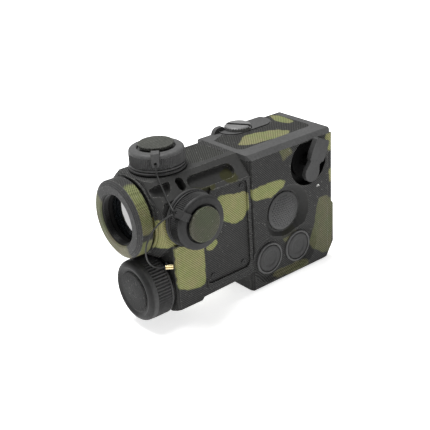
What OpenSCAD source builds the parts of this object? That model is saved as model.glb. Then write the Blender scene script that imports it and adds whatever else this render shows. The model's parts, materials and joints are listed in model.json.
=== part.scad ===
// Compact optical sight joined to a laser rangefinder housing, all sizes in millimetres.
// X points right, Y points forward and Z points up. The optical axis runs along Y above the
// origin, and Z = 0 is the underside of the rangefinder housing.

/* [Rangefinder housing] */
// Distance from the optical axis to the right side
right_x = 20.5; // [20.3:0.1:20.8]
// Distance from the optical axis to the left side
left_x = 14.8; // [14.6:0.1:16]
// Height of the housing from its underside to the top plate's surface
housing_h = 66; // [66:0.1:66.4]
// Distance from the origin to the rear face of the housing
rear_y = 25; // [24.8:0.1:25.2]
// Distance from the origin to the front face above the window bezel
front_y = 25.2; // [25:0.1:25.6]
// Thickness of the top plate
plate_t = 2.2; // [2.1:0.1:2.5]
// Thickness of the camouflage skins
skin_t = 0.6; // [0.5:0.1:0.7]

/* [Optical sight] */
// Height of the optical axis above the underside
optic_z = 49; // [48.9:0.1:49.1]
// Distance from the origin to the rear face of the eyepiece bezel
eyepiece_y = 81.2; // [81:0.1:81.4]
// Outer radius of the eyepiece bezel
bezel_r = 17.1; // [17:0.1:17.2]
// Radius of the opening in the eyepiece bezel
opening_r = 11; // [10.8:0.1:11.3]
// Outer radius of the fixed optical tube
tube_r = 13; // [12.9:0.05:13]

/* [Turrets] */
// Distance from the origin back to the two turret axes
turret_y = 57.8; // [57.5:0.1:58]
// Outer radius of a turret cap
cap_r = 11.9; // [11.6:0.1:11.9]
// Radius of the disc on top of a turret cap
disc_r = 7.6; // [7.2:0.1:7.8]
// Number of knurl teeth around a turret cap
knurl_count = 90; // [60:2:100]

/* [Battery] */
// Distance of the battery's axis to the right of the optical axis
battery_x = 6.2; // [6:0.1:6.3]
// Height of the battery's axis above the underside
battery_z = 17.2; // [17.1:0.1:17.3]
// Radius of the battery cell
cell_r = 8.5; // [8.3:0.1:8.5]
// Length of the battery cell
cell_len = 34.2; // [33:0.1:34.5]
// Outer radius of the battery cap
battery_cap_r = 13.7; // [13.5:0.1:13.7]
// Number of knurl teeth around the battery cap
battery_knurl = 60; // [40:2:72]

/* [Controls] */
// Radius of the large fire button
fire_r = 9.1; // [8.6:0.1:9.2]
// Radius of each small button
small_r = 6.4; // [6:0.1:6.5]
// Radius of the selector recess
selector_r = 11.2; // [11:0.1:11.3]
// Angle of the selector lever at rest, tilted forward from upright
lever_tilt = 26; // [20:1:30]

/* [Tethers] */
// Diameter of the coated wire that keeps the caps on the object
wire_d = 0.7; // [0.5:0.1:0.8]

/* [Hidden] */

$fn = 96;
thin = 0.01;
seam_y = 22.6;
plate_z = housing_h - plate_t;
lip_y = front_y + 1.2;
bay_x = 12.5;
fit = 0.05;

fire_y = -3.2;
fire_z = 32.8;
small_z = 13;
left_button_y = -14;
right_button_y = 3.7;
recess_y = 10.5;
selector_y = 12.2;
selector_z = 53.6;

receiver_x = -5.6;
emitter_x = 6.8;
windows_z = 19.5;
knob_x = -10.4;
knob_y = -4.4;

sight_rear_y = 73;
bezel_l = 1.6;
ring_depth = 3.79;
lower_rear_y = 67.2;
mid_y = 46;
slope_x = 12;
slope_left_x = 10;
turret_seat_x = right_x - 1.3;
elevation_tab_a = -38;
windage_tab_a = 235;

hole_spacing_x = 18;
hole_spacing_y = 24;
insert_r = 1.65;
insert_len = 6;

upper_route = [
    [10.7, -66.2, 72.0], [10.9, -66.3, 70.6], [11.6, -66.5, 68.6], [12.9, -66.8, 66.9],
    [14.6, -67.1, 65.0], [16.4, -67.3, 63.0], [18.2, -67.6, 61.0], [19.9, -67.8, 59.4],
    [21.6, -68.1, 58.2], [23.2, -68.6, 57.5], [24.8, -69.1, 57.2]
];
lower_route = [
    [24.8, -69.3, 55.8], [23.6, -70.8, 55.0], [22.2, -72.8, 53.5], [20.9, -75.0, 51.4],
    [19.7, -77.2, 48.5], [19.0, -78.9, 45.2], [18.4, -79.8, 41.7], [17.8, -79.5, 38.0],
    [17.1, -78.1, 34.5], [16.8, -75.9, 31.8], [16.9, -73.4, 30.3], [17.1, -71.4, 30.0],
    [17.4, -70.5, 30.1]
];

// Points of an arc with the given centre, radius and end angles
function arc(c, r, from, to, steps = 8) =
    [for (i = [0:steps])
        let (a = from + (to - from) * i / steps)
        c + r * [cos(a), sin(a)]];

// Outline of a straight knurl with pointed teeth
function knurl_points(r, depth, count) =
    [for (i = [0:2 * count - 1])
        let (a = 180 * i / count, d = i % 2 == 0 ? 0 : depth)
        (r - d) * [cos(a), sin(a)]];

function unit(v) = v / norm(v);

function route_tangent(route, i) =
    unit(route[min(i + 1, len(route) - 1)] - route[max(i - 1, 0)]);

// One ring of points around a wire's centre line
function wire_ring(route, i, r, sides) =
    let (t = route_tangent(route, i),
         u = unit(cross(t, [0, 1, 0.3])),
         v = cross(t, u))
    [for (k = [0:sides - 1])
        let (a = 360 * k / sides)
        route[i] + r * (cos(a) * u + sin(a) * v)];

// Point at parameter s on a smooth curve through the route's points
function curve_point(p, s) =
    let (i = min(floor(s), len(p) - 2),
         t = s - i,
         a = p[max(i - 1, 0)],
         b = p[i],
         c = p[i + 1],
         d = p[min(i + 2, len(p) - 1)])
    0.5 * (2 * b + (c - a) * t + (2 * a - 5 * b + 4 * c - d) * t * t
        + (3 * b - a - 3 * c + d) * t * t * t);

// Frames whose local Z runs forward along Y, or right along X
module along_y(x, y, z) {
    translate([x, y, z])
        rotate([-90, 0, 0])
            children();
}

module along_x(x, y, z) {
    translate([x, y, z])
        rotate([0, 90, 0])
            children();
}

// Extrudes an outline drawn in Y and Z along X
module side_slab(x, t) {
    translate([x, 0, 0])
        rotate([90, 0, 90])
            linear_extrude(t)
                children();
}

// Extrudes an outline drawn in X and Z from one Y to another
module cross_slab(y0, y1) {
    translate([0, y1, 0])
        rotate([90, 0, 0])
            linear_extrude(y1 - y0)
                children();
}

module ring(outer, inner, h) {
    difference() {
        cylinder(r = outer, h = h);
        translate([0, 0, -1])
            cylinder(r = inner, h = h + 2);
    }
}

module obround_slab(length, r, h) {
    translate([-length / 2, -r, 0])
        cube([length, 2 * r, h]);
    for (s = [-1, 1])
        translate([s * length / 2, 0, 0])
            cylinder(r = r, h = h);
}

module wire(route, r, steps = 3, sides = 8) {
    last = (len(route) - 1) * steps;
    path = [for (i = [0:last]) curve_point(route, i / steps)];
    points = [for (i = [0:last]) each wire_ring(path, i, r, sides)];
    walls = [for (i = [0:last - 1], k = [0:sides - 1])
        let (n = (k + 1) % sides)
        [i * sides + k, (i + 1) * sides + k, (i + 1) * sides + n, i * sides + n]];
    near = [for (k = [0:sides - 1]) k];
    far = [for (k = [sides - 1:-1:0]) last * sides + k];
    polyhedron(points, concat(walls, [near, far]), convexity = 8);
}

// ---------------------------------------------------------------- rangefinder housing

module housing_side_outline() {
    polygon([
        [-rear_y, 0], [lip_y - 5.2, 0], [lip_y, 8], [lip_y, 28], [front_y, 29.6],
        [front_y, plate_z], [-rear_y, plate_z]
    ]);
}

module housing_plan_outline() {
    polygon([
        [-left_x, -rear_y], [right_x - 2.4, -rear_y], [right_x, -rear_y + 1.4],
        [right_x, lip_y + 1], [-left_x, lip_y + 1]
    ]);
}

module housing_front_outline() {
    polygon([
        [-left_x + 1, 0], [right_x - 1, 0], [right_x, 1], [right_x, plate_z],
        [-left_x, plate_z], [-left_x, 1]
    ]);
}

module housing_block(y0, y1) {
    intersection() {
        side_slab(-left_x, left_x + right_x)
            housing_side_outline();
        cross_slab(y0, y1)
            housing_front_outline();
        linear_extrude(housing_h)
            housing_plan_outline();
    }
}

module selector_recess_outline() {
    intersection() {
        translate([recess_y, selector_z])
            circle(r = selector_r);
        translate([recess_y - 15, plate_z - 25])
            square([selector_r + 14.8, 24.6]);
    }
}

module button_pocket() {
    floor_r = 8.9;
    slope = 2.6;
    depth = 1.6;
    span = right_button_y - left_button_y;
    translate([right_x - depth, left_button_y, small_z])
        rotate([0, 90, 0]) {
            for (y = [0, span])
                translate([0, y, 0])
                    cylinder(r1 = floor_r, r2 = floor_r + slope, h = depth + thin);
            rotate([-90, 0, 0])
                linear_extrude(span)
                    polygon([
                        [-floor_r, 0], [floor_r, 0],
                        [floor_r + slope, -depth - thin], [-floor_r - slope, -depth - thin]
                    ]);
        }
}

module button_well(y, z, r, floor_x, stem_r) {
    along_x(floor_x, y, z)
        cylinder(r = r, h = right_x);
    along_x(bay_x - 1, y, z)
        cylinder(r = stem_r, h = right_x);
}

module laser_housing() {
    color("#4a4b4d")
        difference() {
            housing_block(-rear_y, seam_y);
            translate([-left_x + 2, -rear_y + 2, 8])
                cube([left_x - 2 + bay_x, seam_y + rear_y, 27]);
            along_y(0, -rear_y - 1, optic_z)
                cylinder(r = tube_r + 0.3, h = 60);
            along_x(right_x - 3.4, fire_y, fire_z)
                cylinder(r1 = 10.3, r2 = 13.4, h = 3.4 + thin);
            button_well(fire_y, fire_z, fire_r + 0.25, 14.9, 2 + fit);
            button_pocket();
            for (y = [left_button_y, right_button_y])
                button_well(y, small_z, small_r + 0.15, 17.2, 1.5 + fit);
            side_slab(right_x - 4.6, 6)
                selector_recess_outline();
            along_x(10, selector_y, selector_z)
                cylinder(r = 2.5 + fit, h = 8);
            along_x(10, selector_y, selector_z)
                cylinder(r = 4.4, h = 4);
            translate([knob_x, knob_y, 59])
                cylinder(r = 2 + fit, h = 6);
            for (x = [-1, 1], y = [-1, 1])
                translate([x * hole_spacing_x / 2, y * hole_spacing_y / 2, -1])
                    cylinder(r = 2.62, h = insert_len + 1.4);
            bezel_screw_places()
                translate([0, 0, -6])
                    cylinder(r = 0.82, h = 10);
            along_y(battery_x, -rear_y - 1, battery_z)
                cylinder(r = 3, h = 4);
        }
}

module top_pad_outline(grow = 0) {
    intersection() {
        union() {
            for (y = [-7, 7])
                translate([-11, y])
                    circle(r = 7 + grow);
            translate([-11 - 7 - grow, -7])
                square([14 + 2 * grow, 14]);
        }
        translate([-left_x, -20])
            square([30, 40]);
    }
}

module top_skin_outline(inset = 0) {
    right = 11.6 - inset;
    front = 21.6 - inset;
    back = -22 + inset;
    left = -13.4 + inset;
    difference() {
        polygon(concat(
            [[left, -6], [-6.4 + inset, back]],
            arc([right - 3, back + 3], 3, -90, 0),
            arc([right - 3, front - 3], 3, 0, 90),
            arc([left + 2, front - 2], 2, 90, 180)
        ));
        top_pad_outline(0.5 + inset);
    }
}

module top_plate() {
    color("#5d5e60")
        difference() {
            union() {
                intersection() {
                    cross_slab(-rear_y, front_y)
                        polygon([
                            [-left_x, plate_z], [right_x, plate_z], [right_x, housing_h - 2],
                            [right_x - 2, housing_h], [-left_x + 1, housing_h],
                            [-left_x, housing_h - 1]
                        ]);
                    linear_extrude(housing_h + 1)
                        polygon([
                            [-left_x, -rear_y], [right_x - 2.4, -rear_y],
                            [right_x, -rear_y + 1.4], [right_x, front_y - 1.2],
                            [right_x - 1.2, front_y], [-left_x + 1.2, front_y],
                            [-left_x, front_y - 1.2]
                        ]);
                }
                translate([0, 0, housing_h - 1])
                    linear_extrude(1.6)
                        top_pad_outline();
            }
            translate([0, 0, housing_h - skin_t - 0.15])
                linear_extrude(2)
                    top_skin_outline();
            translate([knob_x, knob_y, plate_z + 0.8])
                cylinder(r = 6.6, h = 5);
            translate([knob_x, knob_y, plate_z - 1])
                cylinder(r = 2 + fit, h = 5);
            translate([-left_x - 1, -17.6, housing_h - 1.2])
                cube([3.4, 7.2, 3]);
        }
}

module top_skin() {
    color("#6d6f58")
        translate([0, 0, housing_h - skin_t - 0.13])
            linear_extrude(skin_t)
                top_skin_outline(0.06);
}

// Screws stand in the four corners of the front bezel, heads forward
module bezel_screw_places() {
    for (place = [[-left_x + 3, 6.3], [right_x - 3, 6.3], [-left_x + 2.4, 61.3], [right_x - 2.6, 33]])
        along_y(place.x, seam_y, place.y)
            children();
}

module front_bezel() {
    color("#3e3f41")
        difference() {
            housing_block(seam_y + 0.02, lip_y + 1);
            along_y(0, seam_y - 1, optic_z)
                cylinder(r = 11.4, h = 9);
            along_y(0, seam_y + 1.2, optic_z)
                cylinder(r1 = 11.4, r2 = 12.6, h = 1.6);
            along_y(receiver_x, seam_y - 1, windows_z)
                cylinder(r = 6.2, h = 9);
            along_y(receiver_x, lip_y - 1.4, windows_z)
                cylinder(r = 6.8, h = 3);
            along_y(emitter_x, seam_y - 1, windows_z)
                cylinder(r = 3.8, h = 9);
            along_y(emitter_x, lip_y - 1.4, windows_z)
                cylinder(r = 4.6, h = 3);
            bezel_screw_places() {
                translate([0, 0, -1])
                    cylinder(r = 1, h = 9);
                translate([0, 0, 1.2])
                    cylinder(r = 1.7, h = 9);
            }
        }
}

module socket_screw(head_r, head_h, shank_r, shank_l) {
    difference() {
        union() {
            cylinder(r = head_r, h = head_h);
            translate([0, 0, -shank_l])
                cylinder(r = shank_r, h = shank_l + thin);
        }
        translate([0, 0, head_h / 2])
            cylinder(r = head_r * 0.5, h = head_h, $fn = 6);
    }
}

module bezel_screws() {
    color("#2a2a2b")
        bezel_screw_places()
            translate([0, 0, 1.22])
                socket_screw(1.6, 1.2, 0.8, 5);
}

module thread_inserts() {
    color("#b08d4a")
        for (x = [-1, 1], y = [-1, 1])
            translate([x * hole_spacing_x / 2, y * hole_spacing_y / 2, 0])
                ring(2.6, insert_r, insert_len);
}

module receiver_barrel() {
    color("#2b2b2c")
        along_y(receiver_x, 5, windows_z)
            difference() {
                cylinder(r = 6.7, h = seam_y - 5);
                translate([0, 0, 1.5])
                    cylinder(r = 5.9, h = 20);
                translate([0, 0, -1])
                    cylinder(r = 3, h = 4);
            }
}

module receiver_lens() {
    color("#7f8fb0")
        along_y(receiver_x, lip_y - 1.3, windows_z)
            rotate_extrude()
                polygon(concat([[0, -1], [6.1, -1], [6.1, 0], [0, 0.8]]));
}

module receiver_sensor() {
    color("#8f8f92")
        along_y(receiver_x, 3.6, windows_z) {
            cylinder(r = 4.2, h = 1.3);
            cylinder(r = 2.6, h = 3.2);
        }
}

module emitter_barrel() {
    color("#7a6f52")
        along_y(emitter_x, 7, windows_z)
            difference() {
                union() {
                    cylinder(r = 4.4, h = seam_y - 7);
                    cylinder(r = 4.9, h = 3);
                }
                translate([0, 0, 4])
                    cylinder(r = 3.2, h = 20);
            }
}

module emitter_window() {
    color("#8a3b3b")
        along_y(emitter_x, lip_y - 1.38, windows_z)
            cylinder(r = 4.5, h = 0.9);
}

module main_board() {
    color("#1f4d35")
        translate([-12, -21.5, 29])
            cube([20, 42, 1.2]);
}

module board_parts() {
    color("#232323")
        translate([0, 0, 30.2]) {
            translate([-8, -14, 0])
                cube([8, 8, 1]);
            translate([-10, 2, 0])
                cube([5, 6, 1.4]);
            translate([2, -3, 0])
                cube([4, 9, 2]);
            for (i = [0:3])
                translate([-9 + 3 * i, -19, 0])
                    cube([1.6, 2.4, 0.8]);
            translate([3, 12, 0])
                cylinder(r = 2, h = 2.6);
        }
}

module switch_board() {
    color("#1f4d35")
        translate([8.5, -21, 9])
            cube([1, 26.5, 25.5]);
}

module tact_switches() {
    color("#c8c8c8")
        for (place = [[fire_y, fire_z - 2], [left_button_y, small_z], [right_button_y - 1.3, small_z]])
            translate([9.5, place.x - 2.5, place.y - 2.5])
                cube([1.1, 5, 5]);
    color("#202020")
        for (place = [[fire_y, fire_z], [left_button_y, small_z], [right_button_y, small_z]])
            along_x(10.6, place.x, place.y)
                cylinder(r = 1.2, h = 0.7);
}

module boresight_knob() {
    color("#6a6b6d")
        translate([knob_x, knob_y, 0])
            difference() {
                union() {
                    translate([0, 0, plate_z + 1.1])
                        cylinder(r = 6.3, h = 2.9);
                    translate([0, 0, plate_z + 4])
                        cylinder(r1 = 6.3, r2 = 5.6, h = 0.6);
                    translate([0, 0, 59.4])
                        cylinder(r = 2, h = 7);
                }
                translate([0, 0, plate_z + 4.6])
                    rotate([0, 0, 31])
                        cube([14, 2.1, 2.8], center = true);
                for (a = [0:12:348])
                    rotate([0, 0, a])
                        translate([6.5, 0, plate_z + 1.4])
                            cylinder(r = 0.45, h = 5);
            }
}

module adjuster_guard() {
    color("#6a6b6d")
        difference() {
            side_slab(-left_x, 2.3)
                polygon(concat(
                    [[-17.5, housing_h - 1.18], [-10.5, housing_h - 1.18]],
                    arc([-12, housing_h + 1], 1.5, 0, 90, 5),
                    arc([-13.8, housing_h - 0.5], 3, 90, 150, 6)
                ));
            along_x(-left_x - 1, -13.6, housing_h + 0.5)
                cylinder(r = 0.7, h = 5);
        }
}

// ---------------------------------------------------------------- sight and battery housing

module rear_section_outline() {
    polygon([
        [-slope_left_x, housing_h], [slope_x, housing_h],
        [turret_seat_x, housing_h - turret_seat_x + slope_x], [turret_seat_x, 38.6],
        [12.5, 32], [-12, 32], [-16.6, 36.6], [-16.6, housing_h - 6.6]
    ]);
}

module mid_section_outline() {
    polygon([
        [-slope_left_x, housing_h], [slope_x, housing_h], [right_x, housing_h - 8.5],
        [right_x, 30], [-left_x, 30], [-left_x, housing_h - 4.8]
    ]);
}

module lower_section_outline() {
    polygon([
        [-9, 11], [-5, 6], [15, 6], [right_x, 8.3], [right_x, 38.5],
        [14, 40], [-5, 40], [-9, 33]
    ]);
}

module lower_plan_outline() {
    polygon([
        [-9, -lower_rear_y + 1.5], [-7.5, -lower_rear_y],
        [right_x - 1.6, -lower_rear_y], [right_x, -lower_rear_y + 1],
        [right_x, -rear_y - 0.02], [-9, -rear_y - 0.02]
    ]);
}

module lower_side_outline() {
    polygon([
        [-lower_rear_y, 6], [-57, 6], [-53.5, 9.6], [-rear_y - 0.02, 10.4],
        [-rear_y - 0.02, 41], [-lower_rear_y, 41]
    ]);
}

// Raised lip around the cover's pocket, kept below the shoulder and off the box
module cover_lip() {
    side_slab(right_x - 1, 1.45)
        intersection() {
            difference() {
                cover_outline(-2.4);
                cover_outline();
            }
            difference() {
                translate([-51.6, 5])
                    square([25.4, 52.6]);
                translate([-turret_y, optic_z])
                    circle(r = 12.75);
            }
        }
}

module rear_blocks() {
    intersection() {
        cross_slab(-sight_rear_y, -mid_y + 2)
            rear_section_outline();
        along_y(0, -sight_rear_y, optic_z)
            union() {
                cylinder(r = 17.4, h = 0.6);
                cylinder(r = 17.05, h = 1.2);
                translate([0, 0, 1.1])
                    cylinder(r1 = 17.8, r2 = 22, h = 2.8);
                translate([0, 0, 3.8])
                    cylinder(r = 23, h = 30);
            }
    }
    cover_lip();
    cross_slab(-mid_y, -rear_y - 0.02)
        mid_section_outline();
    intersection() {
        side_slab(-9, 9 + right_x)
            lower_side_outline();
        cross_slab(-lower_rear_y, -rear_y - 0.02)
            lower_section_outline();
        linear_extrude(60)
            lower_plan_outline();
    }
    along_y(battery_x, -lower_rear_y - 8, battery_z)
        cylinder(r = 10.5, h = 12);
}

// The cover's pocket, drawn in Y and Z, stays clear of the windage turret
module cover_outline(inset = 0) {
    difference() {
        polygon(concat(
            arc([-49, 17.4], 2.6 - inset, 180, 270),
            arc([-30, 17.8], 3 - inset, -90, 0),
            arc([-29.4, 54.8], 2.4 - inset, 0, 90),
            arc([-41.4, 53.7], 3.5 - inset, 90, 170),
            [[-45.2 + inset, 50], [-51.6 + inset, 40]]
        ));
        translate([-turret_y, optic_z])
            circle(r = 13.3 + inset);
    }
}

// Frame of the right shoulder's 45 degree slope, origin at its middle, local X along Y
module on_slope(y, along = 0) {
    translate([slope_x + 4.25 + along * 0.7071, y, housing_h - 4.25 - along * 0.7071])
        rotate([0, 45, 0])
            rotate([0, 0, 90])
                children();
}

module shoulder_cuts() {
    // Long scallop, an oval hole and a half-round pocket
    on_slope(-42.6, 0.3)
        translate([0, 0, -2])
            obround_slab(17.6, 3.5, 4);
    on_slope(-57.8, -1.2)
        translate([0, 0, -4.5])
            rotate([0, 0, 90])
                obround_slab(2.4, 1.95, 8);
    on_slope(-67.3, -3.3)
        translate([0, 0, -2.4])
            intersection() {
                cylinder(r = 4.9, h = 4);
                translate([-6, -6, 0])
                    cube([12, 6.7, 4]);
            }
    // Seam line between the shoulder and the flank
    side_slab(turret_seat_x - 0.3, 1)
        translate([-sight_rear_y - 1, housing_h - 8.1])
            square([14, 0.35]);
}

module sight_skin_outline(inset = 0) {
    polygon(concat(
        [[-8.5 + inset, -45 + inset]],
        [[-8.5 + inset, -32 - inset], [-5.5, -28 - inset]],
        arc([6.5, -30.5 - inset], 2.5, 90, 0, 5),
        [[9 - inset, -40.5]],
        arc([6.2, -43.5 + inset], 2.5, 0, -60, 5)
    ));
}

module rear_housing() {
    color("#55565a")
        difference() {
            rear_blocks();
            along_y(0, -sight_rear_y - 1, optic_z)
                cylinder(r = tube_r + 0.05, h = 60);
            along_y(battery_x, -lower_rear_y - 9, battery_z)
                cylinder(r = 9.5, h = 49.2);
            along_y(battery_x, -lower_rear_y, battery_z)
                cylinder(r = 3, h = 60);
            along_y(0, -sight_rear_y - thin, optic_z)
                ring(16.5, 14.2, 1.5);
            side_slab(right_x - 1, 3)
                cover_outline();
            cover_screw_places()
                translate([0, 0, -4])
                    cylinder(r = 0.62, h = 8);
            shoulder_cuts();
            translate([0, 0, housing_h - skin_t - 0.1])
                linear_extrude(2)
                    sight_skin_outline();
            translate([0, -turret_y, optic_z])
                cylinder(r = 1.9, h = 30);
            along_x(0, -turret_y, optic_z)
                cylinder(r = 1.9, h = 30);
            along_x(turret_seat_x, -turret_y, optic_z)
                cylinder(r = 12.7, h = 5);
        }
}

module sight_skin() {
    color("#4d4f45")
        translate([0, 0, housing_h - skin_t - 0.08])
            linear_extrude(skin_t)
                sight_skin_outline(0.06);
}

module cover_screw_places() {
    for (place = [[-29.6, 54.4], [-30.4, 18], [-47.8, 17.8]])
        along_x(right_x - 1, place.x, place.y)
            children();
}

module side_cover() {
    color("#6d6f58")
        difference() {
            side_slab(right_x - 0.98, 0.6)
                cover_outline(0.1);
            cover_screw_places()
                translate([0, 0, -1])
                    cylinder(r = 0.8, h = 3);
        }
}

module cover_screws() {
    color("#2a2a2b")
        cover_screw_places()
            translate([0, 0, 0.64])
                socket_screw(1.1, 0.4, 0.6, 4);
}

// ---------------------------------------------------------------- optics

module optic_tube() {
    color("#232324")
        difference() {
            along_y(0, -sight_rear_y + 0.1, optic_z)
                ring(tube_r, 12, sight_rear_y + seam_y - 0.2);
            translate([0, -turret_y, optic_z])
                cylinder(r = 1.9, h = 30);
            along_x(0, -turret_y, optic_z)
                cylinder(r = 1.9, h = 30);
        }
}

module lens(r, edge_t, crown) {
    arc_r = (r * r + crown * crown) / (2 * crown);
    half = asin(r / arc_r);
    rotate_extrude()
        polygon(concat(
            [[0, 0], [r, 0]],
            arc([0, edge_t + crown - arc_r], arc_r, 90 - half, 90, 10)
        ));
}

module objective_lens() {
    color("#8a4b4b")
        along_y(0, 17, optic_z)
            lens(11.95, 2.4, 1.2);
}

module objective_ring() {
    color("#1c1c1d")
        along_y(0, 20.8, optic_z)
            ring(11.95, 10.6, 1.6);
}

module erector_tube() {
    color("#1c1c1d")
        along_y(0, -67, optic_z)
            difference() {
                union() {
                    ring(9.4, 8.4, 60);
                    ring(11.9, 8.4, 1.6);
                }
                translate([0, 0, 40])
                    rotate([90, 0, 0])
                        cylinder(r = 1.65, h = 12);
            }
}

module collimator_lens() {
    color("#7d8fae")
        along_y(0, -11, optic_z)
            lens(8.35, 2, 0.8);
}

module dot_emitter() {
    color("#a33030")
        translate([0, -27, optic_z]) {
            translate([0, 0, 7.2])
                cylinder(r = 1.6, h = 2.6);
            translate([-2, -2, 9.8])
                cube([4, 4, 0.8]);
        }
}

module eyepiece_tube() {
    back = eyepiece_y - sight_rear_y - bezel_l - 0.04;
    color("#6d6f58")
        along_y(0, -eyepiece_y + bezel_l + 0.02, optic_z)
            rotate_extrude()
                polygon([
                    [12.8, 0], [bezel_r, 0], [bezel_r, back - 1.5], [bezel_r - 0.3, back - 1.2],
                    [14.6, back - 1.2], [14.6, back], [12.8, back]
                ]);
}

module eyepiece_bezel() {
    spigot = ring_depth - 0.04;
    color("#58595b")
        along_y(0, -eyepiece_y, optic_z)
            rotate_extrude()
                polygon([
                    [opening_r, 0.9], [opening_r + 0.9, 0], [bezel_r - 2.1, 0],
                    [bezel_r - 1.8, 0.2], [bezel_r - 0.1, 1.3], [bezel_r, 1.5],
                    [bezel_r, bezel_l], [12.78, bezel_l], [12.78, spigot], [opening_r, spigot]
                ]);
}

module eyepiece_ring() {
    color("#19191a")
        along_y(0, -eyepiece_y + ring_depth, optic_z)
            rotate_extrude()
                polygon([
                    [10.6, 1.2], [11.2, 0], [12.7, 0], [12.7, 1.8], [10.6, 1.8]
                ]);
}

module eyepiece_lens() {
    color("#9aa6a8")
        along_y(0, -eyepiece_y + 8.15, optic_z)
            mirror([0, 0, 1])
                lens(12.7, 2.2, 0.9);
}

// ---------------------------------------------------------------- turrets

module turret_base() {
    color("#2f3032")
        difference() {
            union() {
                rotate_extrude()
                    polygon([
                        [0, 0.02], [11, 0.02], [11, 0.7], [12.4, 0.7],
                        [12.4, 1.3], [12, 1.65], [0, 1.65]
                    ]);
                translate([0, 0, 1.6])
                    cylinder(r = 8.6, h = 4);
            }
            translate([0, 0, 1.4])
                cylinder(r = 4.3, h = 6);
            translate([0, 0, -1])
                cylinder(r = 1.5 + fit, h = 6);
        }
}

// Slotted adjusting screw with its tip just clear of the inner tube
module turret_screw(reach) {
    color("#9a9c9e")
        difference() {
            union() {
                translate([0, 0, 1.44])
                    cylinder(r = 4.2, h = 4.8);
                translate([0, 0, -reach])
                    cylinder(r = 1.5, h = reach + 1.5);
            }
            translate([-5, -0.6, 5.2])
                cube([10, 1.2, 3]);
        }
}

module turret_cap() {
    rim_z = 2.05;
    knurl_z = 3.1;
    shoulder_z = 7.9;
    color("#4c4d4f")
        difference() {
            union() {
                translate([0, 0, rim_z])
                    cylinder(r = cap_r, h = knurl_z - rim_z - 0.3);
                translate([0, 0, rim_z])
                    cylinder(r = cap_r - 0.6, h = shoulder_z - rim_z);
                translate([0, 0, knurl_z])
                    linear_extrude(shoulder_z - knurl_z)
                        polygon(knurl_points(cap_r - 0.05, 0.42, knurl_count));
                rotate_extrude()
                    polygon(concat(
                        [[0, shoulder_z - 0.1], [cap_r - 0.1, shoulder_z - 0.1]],
                        arc([cap_r - 1.5, shoulder_z], 1.4, 0, 75, 8),
                        [[disc_r + 1, 9.6], [disc_r + 0.6, 9.3], [disc_r + 0.4, 8.2], [0, 8.2]]
                    ));
                translate([0, 0, 8.1])
                    cylinder(r = 4.8, h = 1.5);
            }
            translate([0, 0, rim_z - 1])
                cylinder(r = 8.6 + fit, h = 5.8);
        }
}

module turret_disc() {
    color("#6b6c66")
        translate([0, 0, 9.62])
            rotate_extrude()
                polygon([
                    [0, 0], [disc_r - 0.6, 0], [disc_r - 0.6, 0.2], [disc_r - 0.1, 0.3],
                    [disc_r - 0.1, 0.6], [disc_r - 0.4, 0.68], [disc_r - 0.4, 0.84],
                    [disc_r, 0.92], [disc_r, 1.34], [disc_r - 0.3, 1.6], [0, 1.6]
                ]);
}

// Washer in the groove under the disc, with a tab bent down over the shoulder
module tether_ring(a) {
    color("#58595a")
        rotate([0, 0, a])
            difference() {
                union() {
                    translate([0, 0, 8.7])
                        ring(6.8, 5.1, 0.4);
                    translate([5.6, -1.7, 8.7])
                        cube([1.6, 3.4, 0.4]);
                    translate([6.8, -1.7, 8.7])
                        cube([0.4, 3.4, 0.4]);
                    translate([6.8, -1.7, 8.7])
                        rotate([0, -33, 0])
                            cube([2.9, 3.4, 0.4]);
                    translate([9.1, -1.7, 10.13])
                        cube([3.9, 3.4, 0.4]);
                    translate([12.5, -1.7, 6.2])
                        cube([0.5, 3.4, 4.33]);
                    translate([12.5, 0, 6.2])
                        rotate([0, 90, 0])
                            cylinder(r = 1.7, h = 0.5);
                }
                translate([11, 0, 6.2])
                    rotate([0, 90, 0])
                        cylinder(r = 0.65, h = 4);
            }
}

module at_elevation() {
    translate([0, -turret_y, housing_h])
        children();
}

module at_windage() {
    along_x(turret_seat_x, -turret_y, optic_z)
        children();
}

elevation_reach = housing_h - optic_z - 9.5;
windage_reach = turret_seat_x - 9.5;

module elevation_base() { at_elevation() turret_base(); }
module elevation_screw() { at_elevation() turret_screw(elevation_reach); }
module elevation_cap() { at_elevation() turret_cap(); }
module elevation_disc() { at_elevation() turret_disc(); }
module elevation_tether_ring() { at_elevation() tether_ring(elevation_tab_a); }
module windage_base() { at_windage() turret_base(); }
module windage_screw() { at_windage() turret_screw(windage_reach); }
module windage_cap() { at_windage() turret_cap(); }
module windage_disc() { at_windage() turret_disc(); }
module windage_tether_ring() { at_windage() tether_ring(windage_tab_a); }

// ---------------------------------------------------------------- battery

module at_battery(y) {
    along_y(battery_x, y, battery_z)
        children();
}

module battery_sleeve() {
    color("#d8d4c4")
        at_battery(-lower_rear_y - 7.5)
            ring(9.45, cell_r + 0.2, 45);
}

module battery_cell() {
    color("#3b6f8f")
        at_battery(-lower_rear_y + 2) {
            translate([0, 0, 1])
                cylinder(r = cell_r, h = cell_len - 1);
            cylinder(r = 3.2, h = 2);
        }
}

module contact_board() {
    color("#1f4d35")
        at_battery(-27.9)
            cylinder(r = 8.6, h = 0.8);
}

module contact_spring() {
    turns = 2.4;
    steps = 34;
    height = 2.2;
    coil = [for (i = [0:steps])
        let (a = 360 * turns * i / steps, r = 6 - 2.6 * i / steps)
        [battery_x + r * cos(a), -28.4 - height * i / steps, battery_z + r * sin(a)]];
    color("#c9a75a")
        wire(coil, 0.3, 1);
}

module battery_gasket() {
    color("#141414")
        at_battery(-lower_rear_y - 0.62)
            ring(12.4, 10.6, 0.6);
}

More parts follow.
